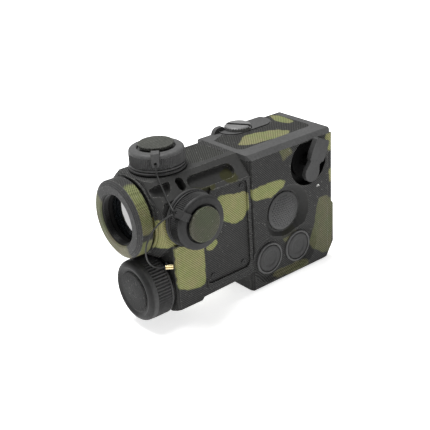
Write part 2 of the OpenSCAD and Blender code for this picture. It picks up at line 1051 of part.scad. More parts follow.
module battery_cap() {
    front = 3.7;
    knurl_l = 7.9;
    back = -68.9;
    face = back - knurl_l;
    color("#515255")
        at_battery(0)
            difference() {
                union() {
                    translate([0, 0, face - thin])
                        linear_extrude(knurl_l)
                            polygon(knurl_points(battery_cap_r, 0.65, battery_knurl));
                    rotate_extrude()
                        polygon(concat(
                            [[0, face + 0.1], [battery_cap_r - 0.1, face + 0.1]],
                            [[battery_cap_r - 0.1, face - 1.1]],
                            arc([battery_cap_r - 2.7, face - 1.1], 2.6, 0, -85, 10),
                            [[9.7, face - front + 0.7], [9.1, face - front + 0.7],
                             [9.1, face - front + 1.2], [0, face - front + 1.2]]
                        ));
                    translate([0, 0, back - 0.9])
                        cylinder(r = battery_cap_r - 0.1, h = 0.9);
                }
                translate([0, 0, face])
                    cylinder(r = 10.5 + fit, h = 9);
            }
}

module battery_cap_disc() {
    color("#5a5b5e")
        at_battery(-68.9 - 6.6 - 5)
            rotate_extrude()
                polygon([[0, -0.1], [8.5, 0.1], [9.05, 0.45], [9.05, 1.18], [0, 1.18]]);
}

module battery_tether_ring() {
    color("#8f9092")
        at_battery(-68.5)
            difference() {
                union() {
                    ring(11.6, 10.75, 0.4);
                    rotate([0, 0, -50])
                        translate([11.2, -1.5, 0])
                            cube([4.8, 3, 0.4]);
                }
                rotate([0, 0, -50])
                    translate([14.6, 0, -1])
                        cylinder(r = 0.6, h = 3);
            }
}

// ---------------------------------------------------------------- tethers

module tether_wire_upper() {
    color("#8a8a8c")
        wire(upper_route, wire_d / 2);
}

module tether_wire_lower() {
    color("#8a8a8c")
        wire(lower_route, wire_d / 2);
}

module crimp(at) {
    translate(at)
        rotate([0, 90, 52])
            cylinder(r = 0.52, h = 3.2, center = true);
}

module tether_ferrules() {
    color("#c9a445") {
        crimp([18.4, -69.1, 30.1]);
        crimp([18.4, -69.1, 29]);
    }
}

// ---------------------------------------------------------------- controls

module selector_rotor() {
    base_x = right_x - 4.4;
    color("#1d1d1e")
        difference() {
            union() {
                along_x(base_x, selector_y, selector_z)
                    cylinder(r = 8.9, h = 1.3);
                along_x(base_x, selector_y, selector_z)
                    cylinder(r = 2.9, h = 5.18);
                along_x(12.9, selector_y, selector_z)
                    cylinder(r = 2.5, h = base_x - 12.8);
            }
            along_x(13.1, selector_y, selector_z)
                ring(3, 2.1, 0.6);
        }
}

module selector_clip() {
    color("#9a9c9e")
        along_x(13.14, selector_y, selector_z)
            difference() {
                ring(3.8, 2.12, 0.5);
                translate([0, -1, -1])
                    cube([6, 2, 3]);
            }
}

// Handle seen from the side: a round lower lobe, a narrow waist and a broad upper pad
module lever_outline() {
    waist = 3.1;
    pad = 4.7;
    top = 2.9;
    polygon(concat(
        arc([0.2, -5], 4.4, 150, 390, 20),
        [[waist, -0.5], [pad - 0.4, 1.2], [pad, 3.6]],
        arc([top, 9.6], 1.4, 10, 90, 5),
        arc([-top, 9.6], 1.4, 90, 170, 5),
        [[-pad, 3.6], [-pad + 0.4, 1.2], [-waist, -0.5]]
    ));
}

module selector_lever() {
    base_x = right_x + 0.8;
    color("#77787a")
        translate([base_x, selector_y, selector_z])
            rotate([-lever_tilt, 0, 0])
                rotate([90, 0, 90]) {
                    linear_extrude(2)
                        lever_outline();
                    linear_extrude(2.5)
                        intersection() {
                            lever_outline();
                            translate([-8, 1])
                                square([16, 12]);
                        }
                }
}

module fire_button() {
    dome = 2.4;
    dome_r = (fire_r * fire_r + dome * dome) / (2 * dome);
    half = asin(fire_r / dome_r);
    color("#565759")
        along_x(0, fire_y, fire_z) {
            rotate_extrude()
                polygon(concat(
                    [[0, 16.2], [fire_r, 16.2], [fire_r, 17.6]],
                    arc([0, 17.6 + dome - dome_r], dome_r, 90 - half, 90, 16)
                ));
            translate([0, 0, 12.7])
                cylinder(r = 2, h = 4);
        }
}

module small_button(y) {
    color("#4f5052")
        along_x(0, y, small_z) {
            rotate_extrude()
                polygon([
                    [0, 18.2], [small_r, 18.2], [small_r, 19.4], [small_r - 0.5, 19.8],
                    [4.2, 19.8], [3.4, 19.5], [0, 19.4]
                ]);
            translate([0, 0, 12.7])
                cylinder(r = 1.5, h = 5.6);
        }
}

module left_button() { small_button(left_button_y); }
module right_button() { small_button(right_button_y); }

module button_bezels() {
    color("#626365")
        for (y = [left_button_y, right_button_y])
            along_x(right_x - 1.58, y, small_z)
                rotate_extrude()
                    polygon([
                        [small_r + 0.3, 0], [7.6, 0], [7.6, 0.6], [7.3, 0.9],
                        [small_r + 0.5, 0.9], [small_r + 0.3, 0.7]
                    ]);
}

laser_housing();
top_plate();
top_skin();
front_bezel();
bezel_screws();
thread_inserts();
receiver_barrel();
receiver_lens();
receiver_sensor();
emitter_barrel();
emitter_window();
main_board();
board_parts();
switch_board();
tact_switches();
boresight_knob();
adjuster_guard();
rear_housing();
sight_skin();
side_cover();
cover_screws();
optic_tube();
objective_lens();
objective_ring();
erector_tube();
collimator_lens();
dot_emitter();
eyepiece_tube();
eyepiece_bezel();
eyepiece_ring();
eyepiece_lens();
elevation_base();
elevation_screw();
elevation_cap();
elevation_disc();
elevation_tether_ring();
windage_base();
windage_screw();
windage_cap();
windage_disc();
windage_tether_ring();
battery_sleeve();
battery_cell();
contact_board();
contact_spring();
battery_gasket();
battery_cap();
battery_cap_disc();
battery_tether_ring();
tether_wire_upper();
tether_wire_lower();
tether_ferrules();
selector_rotor();
selector_lever();
selector_clip();
fire_button();
left_button();
right_button();
button_bezels();
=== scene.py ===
"""Looks of the combined optical sight and laser rangefinder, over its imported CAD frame."""
import json
import math

import bmesh
import bpy
from mathutils import Matrix, Vector


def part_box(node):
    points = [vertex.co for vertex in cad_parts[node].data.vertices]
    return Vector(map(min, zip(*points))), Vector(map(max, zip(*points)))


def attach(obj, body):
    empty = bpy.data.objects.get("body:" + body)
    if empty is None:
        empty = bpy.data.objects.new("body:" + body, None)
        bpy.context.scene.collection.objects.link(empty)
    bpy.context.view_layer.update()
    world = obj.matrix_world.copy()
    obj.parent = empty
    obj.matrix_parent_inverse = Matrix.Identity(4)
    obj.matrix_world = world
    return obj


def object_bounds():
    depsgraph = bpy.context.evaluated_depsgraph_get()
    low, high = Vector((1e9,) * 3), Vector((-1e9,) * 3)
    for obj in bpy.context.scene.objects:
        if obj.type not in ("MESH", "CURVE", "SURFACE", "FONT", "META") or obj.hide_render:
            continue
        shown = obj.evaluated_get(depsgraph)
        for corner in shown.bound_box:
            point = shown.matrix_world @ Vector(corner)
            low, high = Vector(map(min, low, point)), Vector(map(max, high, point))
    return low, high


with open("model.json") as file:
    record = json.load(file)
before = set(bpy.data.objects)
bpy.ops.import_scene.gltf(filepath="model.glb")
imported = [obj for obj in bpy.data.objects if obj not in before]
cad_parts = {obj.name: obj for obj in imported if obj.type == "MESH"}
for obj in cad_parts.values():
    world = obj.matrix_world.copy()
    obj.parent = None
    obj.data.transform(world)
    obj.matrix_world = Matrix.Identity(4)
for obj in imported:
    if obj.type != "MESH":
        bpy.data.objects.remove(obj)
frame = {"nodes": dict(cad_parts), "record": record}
cad_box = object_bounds()
nodes = frame["nodes"]
MM = 0.001
CORNER_BLEND = 0.0026  # how far the corners of a patch are rounded, in metres
FADED_STRENGTH = 0.33  # how much of the full patch colour a faded patch has
# worn paint colour, also used for painted glints on the twill
WORN_PAINT_AND_GLINT = (0.3, 0.3, 0.28)
SHADOW_BLACK = (0.003, 0.003, 0.003)
# painted shade: the black put inside the pits, below the face, where shade falls
PIT_SHADE_BLACK = (0.002, 0.002, 0.002)
PIT_DEPTH = 9  # how far below the face the painted shade black of a pit reaches, in millimetres


# ---------------------------------------------------------------- positions

def centre(name):
    """Middle of a CAD node's box."""
    low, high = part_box(name)
    return (Vector(low) + Vector(high)) / 2


def low_of(name):
    return Vector(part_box(name)[0])


def high_of(name):
    return Vector(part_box(name)[1])


right_x = high_of("laser_housing").x
top_z = high_of("laser_housing").z
axis_z = centre("eyepiece_bezel").z


# ---------------------------------------------------------------- node helpers

def hull(points):
    """Convex outline of a few points in a plane, anticlockwise."""
    points = sorted(points)

    def half(sequence):
        chain = []
        for p in sequence:
            while len(chain) > 1:
                (ax, ay), (bx, by) = chain[-2:]
                if (bx - ax) * (p[1] - ay) - (by - ay) * (p[0] - ax) > 0:
                    break
                chain.pop()
            chain.append(p)
        return chain[:-1]

    return half(points) + half(points[::-1])


class Shader:
    """A material with short calls for the nodes that this scene uses."""

    def __init__(self, name):
        self.material = bpy.data.materials.new(name)
        self.material.use_nodes = True
        self.tree = self.material.node_tree
        self.principled = self.tree.nodes["Principled BSDF"]
        self.place = self.add("ShaderNodeTexCoord").outputs["Object"]

    def add(self, kind, **settings):
        node = self.tree.nodes.new(kind)
        for key, value in settings.items():
            setattr(node, key, value)
        return node

    def put(self, socket, value):
        if hasattr(value, "is_output"):
            self.tree.links.new(value, socket)
        elif isinstance(value, tuple) and len(value) == 3 and socket.type == "RGBA":
            socket.default_value = (*value, 1)
        else:
            socket.default_value = value

    def math(self, operation, *values, clamp=False):
        node = self.add("ShaderNodeMath", operation=operation, use_clamp=clamp)
        for socket, value in zip(node.inputs, values):
            self.put(socket, value)
        return node.outputs[0]

    def vector(self, operation, *values, out=0):
        node = self.add("ShaderNodeVectorMath", operation=operation)
        for socket, value in zip(node.inputs, values):
            self.put(socket, value)
        return node.outputs[out]

    def noise(self, scale, detail=3.0, rough=0.55, place=None, colour=False):
        node = self.add("ShaderNodeTexNoise")
        self.put(node.inputs["Vector"], place or self.place)
        self.put(node.inputs["Scale"], scale)
        self.put(node.inputs["Detail"], detail)
        self.put(node.inputs["Roughness"], rough)
        return node.outputs["Color" if colour else "Fac"]

    def ramp(self, value, low, high, to_low=0.0, to_high=1.0):
        node = self.add("ShaderNodeMapRange", clamp=True)
        for key, number in (("From Min", low), ("From Max", high), ("To Min", to_low), ("To Max", to_high)):
            node.inputs[key].default_value = number
        self.put(node.inputs["Value"], value)
        return node.outputs["Result"]

    def mix(self, factor, first, second, blend="MIX"):
        node = self.add("ShaderNodeMix", data_type="RGBA", blend_type=blend)
        self.put(node.inputs["Factor"], factor)
        self.put(node.inputs[6], first)
        self.put(node.inputs[7], second)
        return node.outputs[2]

    def set(self, **values):
        for key, value in values.items():
            self.put(self.principled.inputs[key.replace("_", " ")], value)

    def bump(self, height, distance, strength=1.0, normal=None):
        node = self.add("ShaderNodeBump")
        self.put(node.inputs["Height"], height)
        self.put(node.inputs["Distance"], distance)
        self.put(node.inputs["Strength"], strength)
        if normal:
            self.put(node.inputs["Normal"], normal)
        return node.outputs["Normal"]

    def away_from(self, middle):
        """Vector from a point given in millimetres."""
        return self.vector("SUBTRACT", self.place, tuple(Vector(middle) * MM))

    def distance(self, away, axes=(1, 1, 1)):
        """Length of a vector, along the chosen axes only."""
        return self.vector("LENGTH", self.vector("MULTIPLY", away, axes), out=1)

    def edges(self, radius):
        """1 along the convex and concave edges, 0 on the open faces."""
        rounded = self.add("ShaderNodeBevel", samples=4)
        rounded.inputs["Radius"].default_value = radius
        plain = self.add("ShaderNodeNewGeometry").outputs["Normal"]
        alike = self.vector("DOT_PRODUCT", rounded.outputs[0], plain, out=1)
        return self.ramp(alike, 0.97, 0.8)

    def weave(self, pitch):
        """Height of a fine diagonal twill, 0 to 1, the same on every face of the object."""
        turn = 2 * math.pi / pitch
        wobble = self.vector("SCALE", self.noise(40, 2, colour=True))
        wobble.node.inputs["Scale"].default_value = pitch * 0.5
        place = self.vector("ADD", self.place, wobble)
        along = self.vector("DOT_PRODUCT", place, (turn, turn, turn), out=1)
        across = self.vector("DOT_PRODUCT", place, (turn, -turn, turn), out=1)
        warp = self.math("SINE", along)
        weft = self.math("SINE", across)
        crossing = self.math("MULTIPLY", warp, weft)
        height = self.math("MULTIPLY_ADD", crossing, 0.42, self.math("MULTIPLY", warp, 0.5))
        return self.ramp(height, -0.8, 0.8)

    def ragged(self, amount):
        """The object position, shifted a little by noise so that outlines drawn in it wander."""
        offset = self.vector("SUBTRACT", self.noise(230, 2, colour=True), (0.5, 0.5, 0.5))
        scaled = self.vector("SCALE", offset)
        scaled.node.inputs["Scale"].default_value = amount * 2
        return self.vector("ADD", self.place, scaled)

    def outline(self, place, plane, low, high, points, fade=0.0003):
        """1 inside a convex outline in millimetres, drawn in two axes and limited along the third."""
        first, second = "YZ" if plane == "X" else "XZ" if plane == "Y" else "XY"
        corners = hull(points)
        edges = []
        for a, b in zip(corners, corners[1:] + corners[:1]):
            along = (Vector(b) - Vector(a)).normalized()
            edges.append(((first, -along.y, second, along.x), -along.y * a[0] + along.x * a[1]))
        for sign, at in ((1, low), (-1, -high)):
            edges.append(((plane, sign, plane, 0), at))
        reach = None
        for (one, step_one, two, step_two), start in edges:
            normal = [0, 0, 0]
            normal["XYZ".index(one)] += step_one
            normal["XYZ".index(two)] += step_two
            along = self.vector("DOT_PRODUCT", place, tuple(normal), out=1)
            gap = self.math("SUBTRACT", along, start * MM)
            reach = gap if reach is None else self.math("SMOOTH_MIN", reach, gap, CORNER_BLEND)
        return self.ramp(reach, -fade, fade)

    def ellipsoid(self, place, middle, radii, turn, softness=0.1):
        """1 inside an ellipsoid in millimetres."""
        moved = self.vector("SUBTRACT", place, Vector(middle) * MM)
        if turn:
            spin = self.add("ShaderNodeVectorRotate", rotation_type="EULER_XYZ")
            self.put(spin.inputs["Vector"], moved)
            spin.inputs["Rotation"].default_value = [math.radians(t) for t in turn]
            moved = spin.outputs[0]
        unit = self.vector("DIVIDE", moved, Vector(radii) * MM)
        return self.ramp(self.vector("LENGTH", unit, out=1), 1 + softness, 1 - softness)

    def patches(self, blobs, ragged=0.0011):
        """1 inside the camouflage patches: outlines (four values) or ellipsoids (three)."""
        place = self.ragged(ragged)
        covered = None
        for blob in blobs:
            draw = self.outline if len(blob) == 4 else self.ellipsoid
            inside = draw(place, *blob)
            covered = inside if covered is None else self.math("MAXIMUM", covered, inside)
        return covered


def grain(shader, base, amount=0.16, scale=900):
    """The colour with fine mottling and slow, large variation."""
    fine = shader.ramp(shader.noise(scale, 3), 0.3, 0.7, 1 - amount, 1 + amount)
    slow = shader.ramp(shader.noise(55, 2), 0.3, 0.7, 1 - amount * 0.6, 1 + amount * 0.6)
    both = shader.math("MULTIPLY", fine, slow)
    node = shader.add("ShaderNodeVectorMath", operation="SCALE")
    shader.put(node.inputs[0], base)
    shader.put(node.inputs["Scale"], both)
    return node.outputs[0]


def anodised(name, colour, rough=0.5, wear=0.35, edge=0.00022, specular=0.25, sides=1.0, slot=None):
    """Blasted, hard-anodised aluminium: fine grain and lighter, worn edges."""
    shader = Shader(name)
    base = grain(shader, colour)
    # painted light and shade: with sides set, faces turned across Y get the colour times sides and the end
    # faces along Y keep the darker colour
    if sides != 1.0:
        facing = shader.add("ShaderNodeTexCoord").outputs["Normal"]
        end = shader.math("ABSOLUTE", shader.vector("DOT_PRODUCT", facing, (0, 1, 0), out=1))
        base = shader.mix(shader.ramp(end, 0.5, 0.2), base, grain(shader, tuple(c * sides for c in colour)))
    # painted shadow: inside the knob's slot, below its top, the colour is shadow black
    if slot:
        middle, radius = slot
        away = shader.away_from(middle)
        flat = shader.distance(away, (1, 1, 0))
        under = shader.ramp(shader.vector("DOT_PRODUCT", away, (0, 0, 1), out=1), 0, -0.2 * MM)
        inside = shader.math("MULTIPLY", under, shader.ramp(flat, radius * MM, (radius - 0.1) * MM))
        base = shader.mix(inside, base, SHADOW_BLACK)
    worn = tuple(min(1, c * 2.3 + 0.05) for c in colour)
    scuffed = shader.ramp(shader.noise(420, 4, 0.7), 0.42, 0.62)
    amount = shader.math("MULTIPLY", shader.math("MULTIPLY", shader.edges(edge), scuffed), wear)
    shader.set(Base_Color=shader.mix(amount, base, worn))
    shader.principled.inputs["Specular IOR Level"].default_value = specular
    shader.set(Roughness=shader.ramp(shader.noise(150, 3), 0.3, 0.7, rough - 0.06, rough + 0.08))
    rounded = shader.add("ShaderNodeBevel", samples=4)
    rounded.inputs["Radius"].default_value = edge
    shader.set(Normal=shader.bump(shader.noise(2600, 2), 0.00003, 0.5, rounded.outputs[0]))
    return shader.material


def scaled(colour, factor):
    return tuple(c * factor for c in colour)


def camouflage(name, dark, light, blobs, pitch=0.00112, rough=0.6, depth=0.00007, wear=0.8,
               faded=(), pits=(), smooth=(), shoulder=None, bore=None):
    """Textured finish with a diagonal twill and camouflage patches.

    It is black inside the listed pits and the bore, as painted shade, and has no weave on the smooth
    places and above the shoulder.
    """
    shader = Shader(name)
    thread = shader.weave(pitch)
    woven = 1.0
    if shoulder:
        rise = shader.vector("DOT_PRODUCT", shader.place, (1, 0, 1), out=1)
        woven = shader.ramp(rise, shoulder * MM, (shoulder - 0.6) * MM)
    for middle, radius in smooth:
        away = shader.distance(shader.away_from(middle))
        woven = shader.math("MULTIPLY", woven, shader.ramp(away, (radius - 0.3) * MM, radius * MM))
    thread = shader.math("MULTIPLY_ADD", shader.math("SUBTRACT", thread, 0.5), woven, 0.5)
    ground = grain(shader, shader.mix(thread, scaled(dark, 0.12), scaled(dark, 2.4)), 0.16)
    ground = shader.mix(woven, grain(shader, scaled(dark, 1.6), 0.1), ground)
    drift = shader.ramp(shader.noise(120, 2), 0.35, 0.65)
    tint = shader.mix(drift, (0.9, 0.99, 0.85), (1.08, 1.0, 1.05))
    patch = shader.mix(1.0, shader.mix(thread, scaled(light, 0.3), scaled(light, 1.75)), tint, "MULTIPLY")
    covered = shader.patches(blobs) if blobs else 0.0
    dulled = shader.mix(woven, grain(shader, scaled(light, 0.17), 0.1), grain(shader, patch, 0.1))
    colour = shader.mix(covered, ground, dulled)
    if faded:
        strength = shader.math("MULTIPLY", shader.patches(faded), FADED_STRENGTH)
        colour = shader.mix(strength, colour, dulled)
    # edges and scattered specks get the worn paint colour: partly real wear, partly painted glints
    scuffed = shader.ramp(shader.noise(900, 4, 0.75), 0.44, 0.62)
    amount = shader.math("MULTIPLY", shader.math("MULTIPLY", shader.edges(0.00032), scuffed), wear)
    specks_and_glints = shader.math("MULTIPLY", shader.ramp(shader.noise(1300, 2, 0.6), 0.68, 0.73), 0.5)
    amount = shader.math("MAXIMUM", amount, shader.math("MULTIPLY", specks_and_glints, woven))
    colour = shader.mix(amount, colour, WORN_PAINT_AND_GLINT)
    # painted shade: black inside each pit, from just below the face down to PIT_DEPTH
    for middle, radius in pits:
        away = shader.away_from(middle)
        inside = shader.ramp(shader.distance(away, (0, 1, 1)), (radius + 0.2) * MM, radius * MM)
        below = shader.vector("DOT_PRODUCT", away, (1, 0, 0), out=1)
        inside = shader.math("MULTIPLY", inside, shader.ramp(below, -0.1 * MM, -0.35 * MM))
        above = shader.ramp(below, -PIT_DEPTH * MM, (0.5 - PIT_DEPTH) * MM)
        colour = shader.mix(shader.math("MULTIPLY", inside, above), colour, PIT_SHADE_BLACK)
    # painted shadow: shadow black inside the bore of the eyepiece
    if bore:
        middle, radius = bore
        away = shader.distance(shader.away_from(middle), (1, 0, 1))
        colour = shader.mix(shader.ramp(away, (radius + 0.3) * MM, radius * MM), colour, SHADOW_BLACK)
    shader.set(Base_Color=colour)
    shader.principled.inputs["Specular IOR Level"].default_value = 0.14
    shader.set(Roughness=shader.ramp(thread, 0, 1, rough + 0.1, rough - 0.1))
    rounded = shader.add("ShaderNodeBevel", samples=4)
    rounded.inputs["Radius"].default_value = 0.00025
    shader.set(Normal=shader.bump(thread, depth, 0.9, rounded.outputs[0]))
    return shader.material


def rubber(name, colour, rough=0.62):
    """Matt moulded rubber with a fine pebbled skin."""
    shader = Shader(name)
    shader.set(Base_Color=grain(shader, colour, 0.1, 1400))
    shader.principled.inputs["Specular IOR Level"].default_value = 0.25
    shader.set(Roughness=shader.ramp(shader.noise(300, 3), 0.3, 0.7, rough - 0.05, rough + 0.1))
    rounded = shader.add("ShaderNodeBevel", samples=4)
    rounded.inputs["Radius"].default_value = 0.0002
    shader.set(Normal=shader.bump(shader.noise(3200, 2), 0.00003, 0.6, rounded.outputs[0]))
    return shader.material


def metal(name, colour, rough=0.3, streak=0.08):
    """Bare metal with fine turning marks."""
    shader = Shader(name)
    shader.set(Metallic=1.0)
    shader.set(Base_Color=grain(shader, colour, 0.08, 1500))
    shader.set(Roughness=shader.ramp(shader.noise(800, 4), 0.3, 0.7, rough - streak, rough + streak))
    shader.set(Normal=shader.bump(shader.noise(4000, 2), 0.00001, 0.4))
    return shader.material


def glass(name, tint, ior, rough=0.02, transmission=0.0):
    """Coated optical glass: dark inside, with a tinted reflection."""
    shader = Shader(name)
    haze = shader.ramp(shader.noise(90, 3), 0.35, 0.7, 0.9, 1.1)
    node = shader.add("ShaderNodeVectorMath", operation="SCALE")
    shader.put(node.inputs[0], tint)
    shader.put(node.inputs["Scale"], haze)
    shader.set(Base_Color=node.outputs[0])
    shader.set(Roughness=shader.ramp(shader.noise(60, 2), 0.4, 0.7, rough, rough + 0.03))
    shader.set(IOR=ior)
    shader.principled.inputs["Transmission Weight"].default_value = transmission
    return shader.material


def circuit(name, colour):
    """Solder mask with faint traces."""
    shader = Shader(name)
    lines = shader.add("ShaderNodeTexBrick")
    shader.put(lines.inputs["Vector"], shader.place)
    lines.inputs["Scale"].default_value = 350
    traces = shader.math("MULTIPLY", lines.outputs["Fac"], 0.5)
    shader.set(Base_Color=shader.mix(traces, colour, (0.35, 0.27, 0.08)))
    shader.set(Roughness=shader.ramp(shader.noise(500), 0.3, 0.7, 0.3, 0.45))
    return shader.material


# ---------------------------------------------------------------- materials

# Camouflage patches in millimetres of the object's frame: an outline is its normal axis, its range
# along that axis and its corners, an ellipsoid is its middle, half sizes and turn in degrees.
SIDE_PATCHES = [
    ("X", 14, 22, [(-25.4, 50.3), (-23.6, 45.3), (-18.5, 43.6), (-12.5, 43), (-6.3, 45.6), (-3.4, 48.5),
                   (-7.6, 50.6), (-18.1, 51.2)]),
    ("X", 16, 22, [(21.4, 64.4), (26.2, 63.6), (26.2, 54.6), (22.8, 55)]),
    ("X", 16, 22, [(23.4, 46.4), (26.2, 46.4), (26.2, 39.6), (24, 39.6)]),
    ("X", -22, -11, [(-21, 44), (-13, 39.6), (-2, 41.4), (3.6, 47.6), (-4, 54), (-15, 52.8)]),
    ("X", -22, -11, [(6.6, 30), (14, 34.6), (20.4, 31), (21.6, 19), (16.4, 10.8), (9.6, 13)]),
    ("X", -22, -11, [(-24.6, 15.8), (-17, 19.4), (-9, 16.4), (-10.6, 10.6), (-19.4, 8.2), (-24.2, 10.6)]),
    ((-2, 25, 52), (9, 4, 5), (0, 14, 0)),
    ((12, 25, 10), (7, 4, 6), (0, -20, 0)),
    ((-4, 12, 0), (6, 9, 3), (0, 0, 30)),
]
SIDE_FADED = [
    ("X", 16, 22, [(16.3, 33.2), (21.7, 33.4), (26.6, 30.2), (26.6, 13.4), (24.3, 3), (18.8, 3.8), (12, 9.6),
                   (13.2, 21)]),
    ("X", 19.6, 22, [(-8, 65), (-1.6, 65), (1.2, 60.4), (-5, 58.2)]),
    ("X", 16, 22, [(-13.3, 2.8), (-0.8, 0.8), (10.2, 1.4), (8.9, 4.7), (-3.9, 5), (-11.4, 4.9)]),
    ("X", 16, 22, [(-6, 22), (2, 24), (4, 20), (-4, 17)]),
]
TOP_PATCHES = [
    ("Z", 62, 68, [(5.6, -18.4), (-1.6, -8), (-0.4, -1), (3.2, 6.6), (8.9, 10.4), (12.6, 5.8), (11.6, -4),
                   (10.4, -12.2)]),
    ("Z", 62, 68, [(-14.1, 18.7), (-10.2, 22.4), (1, 20.8), (1.8, 16.9), (-6.3, 14.6)]),
]
SIGHT_PATCHES = [
    ("X", 15, 22, [(-43.4, 53.6), (-35.8, 51.8), (-26.6, 50.6), (-26.4, 42.6), (-29.8, 38.1), (-35.5, 37.8),
                   (-41.4, 42), (-42.7, 47.8)]),
    ("X", 15, 22, [(-50.8, 30.6), (-49.8, 34), (-46.4, 35.4), (-43.6, 32.6), (-46.8, 29.6)]),
    ("X", 18.4, 24, [(-66.9, 38.2), (-52.3, 38.2), (-51.6, 24.9), (-52.3, 15.6), (-57.9, 14.8),
                     (-66.9, 18.8)]),
    ("X", 12, 20.6, [(-74.6, 51), (-66, 53), (-59.4, 51), (-59.4, 38.3), (-74.6, 38.3)]),
    ("Z", 57.6, 64, [(14.6, -37), (22, -38), (22, -30), (13.6, -31)]),
    ("Z", 57.4, 60.5, [(16, -53), (22, -52), (22, -44), (18, -42)]),
    ("X", -22, -10, [(-48, 50.6), (-42, 57.2), (-32.6, 56), (-29.6, 49.6), (-35, 44.4), (-45, 45)]),
    ("X", -22, -6, [(-64, 25.6), (-57, 30), (-48, 26.2), (-49.2, 19.6), (-58, 17), (-63.6, 19.6)]),
    ((2, -50, 8), (8, 9, 3), (0, 0, 20)),
]
TUBE_PATCHES = [
    ((14.5, -77, 61.8), (9.6, 9, 8.2), None),
    ((16.6, -77, 53.6), (5, 9, 6.4), None),
    ((15.4, -77, 37.6), (7.4, 9, 6.4), None),
    ((-12, -77, 40), (7, 8, 8), None),
]
BEZEL_PATCHES = [
    ((-13, -80.6, 46), (6.6, 4, 13), (0, 18, 0)),
    ((-2, -80.6, 34.4), (10, 4, 6), (0, 6, 0)),
]

DARK = (0.023, 0.023, 0.0225)
OLIVE = (0.212, 0.212, 0.093)
recess = (right_x / MM, centre("selector_rotor").y / MM - 1.7, centre("selector_rotor").z / MM)
dish = tuple(c / MM for c in centre("fire_button"))

side_finish = camouflage("finish_side", DARK, OLIVE, SIDE_PATCHES, faded=SIDE_FADED, pits=[(recess, 11.3)],
                         smooth=[((right_x / MM, dish[1], dish[2]), 13.6)])
sight_finish = camouflage("finish_sight", DARK, OLIVE, SIGHT_PATCHES, shoulder=74.6)
tube_finish = camouflage("finish_tube", DARK, (0.125, 0.126, 0.062), TUBE_PATCHES, pitch=0.0009,
                         bore=((0, 0, axis_z / MM), 15.2))
bezel_finish = camouflage("finish_bezel", (0.031, 0.031, 0.031), (0.112, 0.112, 0.072), BEZEL_PATCHES,
                          pitch=0.0009, bore=((0, 0, axis_z / MM), 11.1))
skin_finish = camouflage("finish_skin", (0.02, 0.02, 0.019), (0.134, 0.136, 0.068), TOP_PATCHES)
cover_finish = camouflage("finish_cover", DARK, OLIVE, SIGHT_PATCHES)
sight_skin_finish = camouflage("finish_sight_skin", (0.022, 0.0225, 0.0205), (0.2, 0.2, 0.11), TOP_PATCHES)
disc_finish = camouflage("finish_disc", (0.04, 0.041, 0.036), (0.062, 0.064, 0.045), [
    (tuple(c / MM for c in centre("windage_disc")), (6, 9, 9), None)], pitch=0.0008)
plate_finish = anodised("finish_plate", (0.062, 0.062, 0.062))
# painted light and shade: one anodised finish in two copies, lighter for the elevation cap and its ring on
# top, darker for the windage cap and its ring on the side
top_cap_painted_light_finish = anodised("finish_cap_painted_light", (0.072, 0.072, 0.072), specular=0.18)
side_cap_painted_shade_finish = anodised("finish_side_cap_painted_shade", (0.026, 0.026, 0.026), specular=0.18)
flange_finish = anodised("finish_flange", (0.04, 0.04, 0.04), edge=0.00015, specular=0.15)
# painted light and shade: the cap's end faces are darker and its knurled sides 2.6 times lighter
battery_finish = anodised("finish_battery_cap", (0.022, 0.022, 0.022), specular=0.15, sides=2.6)
lever_finish = anodised("finish_lever", (0.034, 0.034, 0.034), rough=0.45)
knob = centre("boresight_knob") / MM
slot_top = (knob.x, knob.y, high_of("boresight_knob").z / MM - 0.3)
knob_finish = anodised("finish_knob", (0.14, 0.14, 0.14), rough=0.42, slot=(slot_top, 5.55))
black_finish = anodised("finish_black", (0.003, 0.003, 0.003), rough=0.65, wear=0.05, specular=0.06)
screw_finish = anodised("finish_screw", (0.02, 0.02, 0.02), wear=0.2)
button_finish = rubber("finish_button", (0.045, 0.045, 0.045))
fire_finish = rubber("finish_fire_button", (0.08, 0.08, 0.08))
bezel_ring_finish = rubber("finish_button_bezel", (0.1, 0.1, 0.1))
seal_finish = rubber("finish_seal", (0.012, 0.012, 0.012))
inside_finish = rubber("finish_inside", (0.003, 0.003, 0.003), 0.8)
steel_finish = metal("finish_steel", (0.5, 0.5, 0.5))
dark_steel_finish = metal("finish_dark_steel", (0.12, 0.12, 0.125), 0.38)
brass_finish = metal("finish_brass", (0.9, 0.76, 0.45), 0.3)
wire_finish = rubber("finish_wire", (0.03, 0.03, 0.03), 0.5)
battery_disc_finish = camouflage("finish_battery_disc", (0.012, 0.012, 0.012), OLIVE, [], pitch=0.0008)
lens_finish = glass("finish_lens", (0.004, 0.005, 0.006), 2.7)
red_glass_finish = glass("finish_red_glass", (0.05, 0.003, 0.003), 1.8)
board_finish = circuit("finish_board", (0.01, 0.07, 0.03))
chip_finish = rubber("finish_chip", (0.015, 0.015, 0.016), 0.4)
plastic_finish = rubber("finish_plastic", (0.6, 0.6, 0.57), 0.45)
cell_finish = rubber("finish_cell", (0.02, 0.05, 0.16), 0.3)
paint_finish = rubber("finish_paint", (0.8, 0.8, 0.77), 0.4)

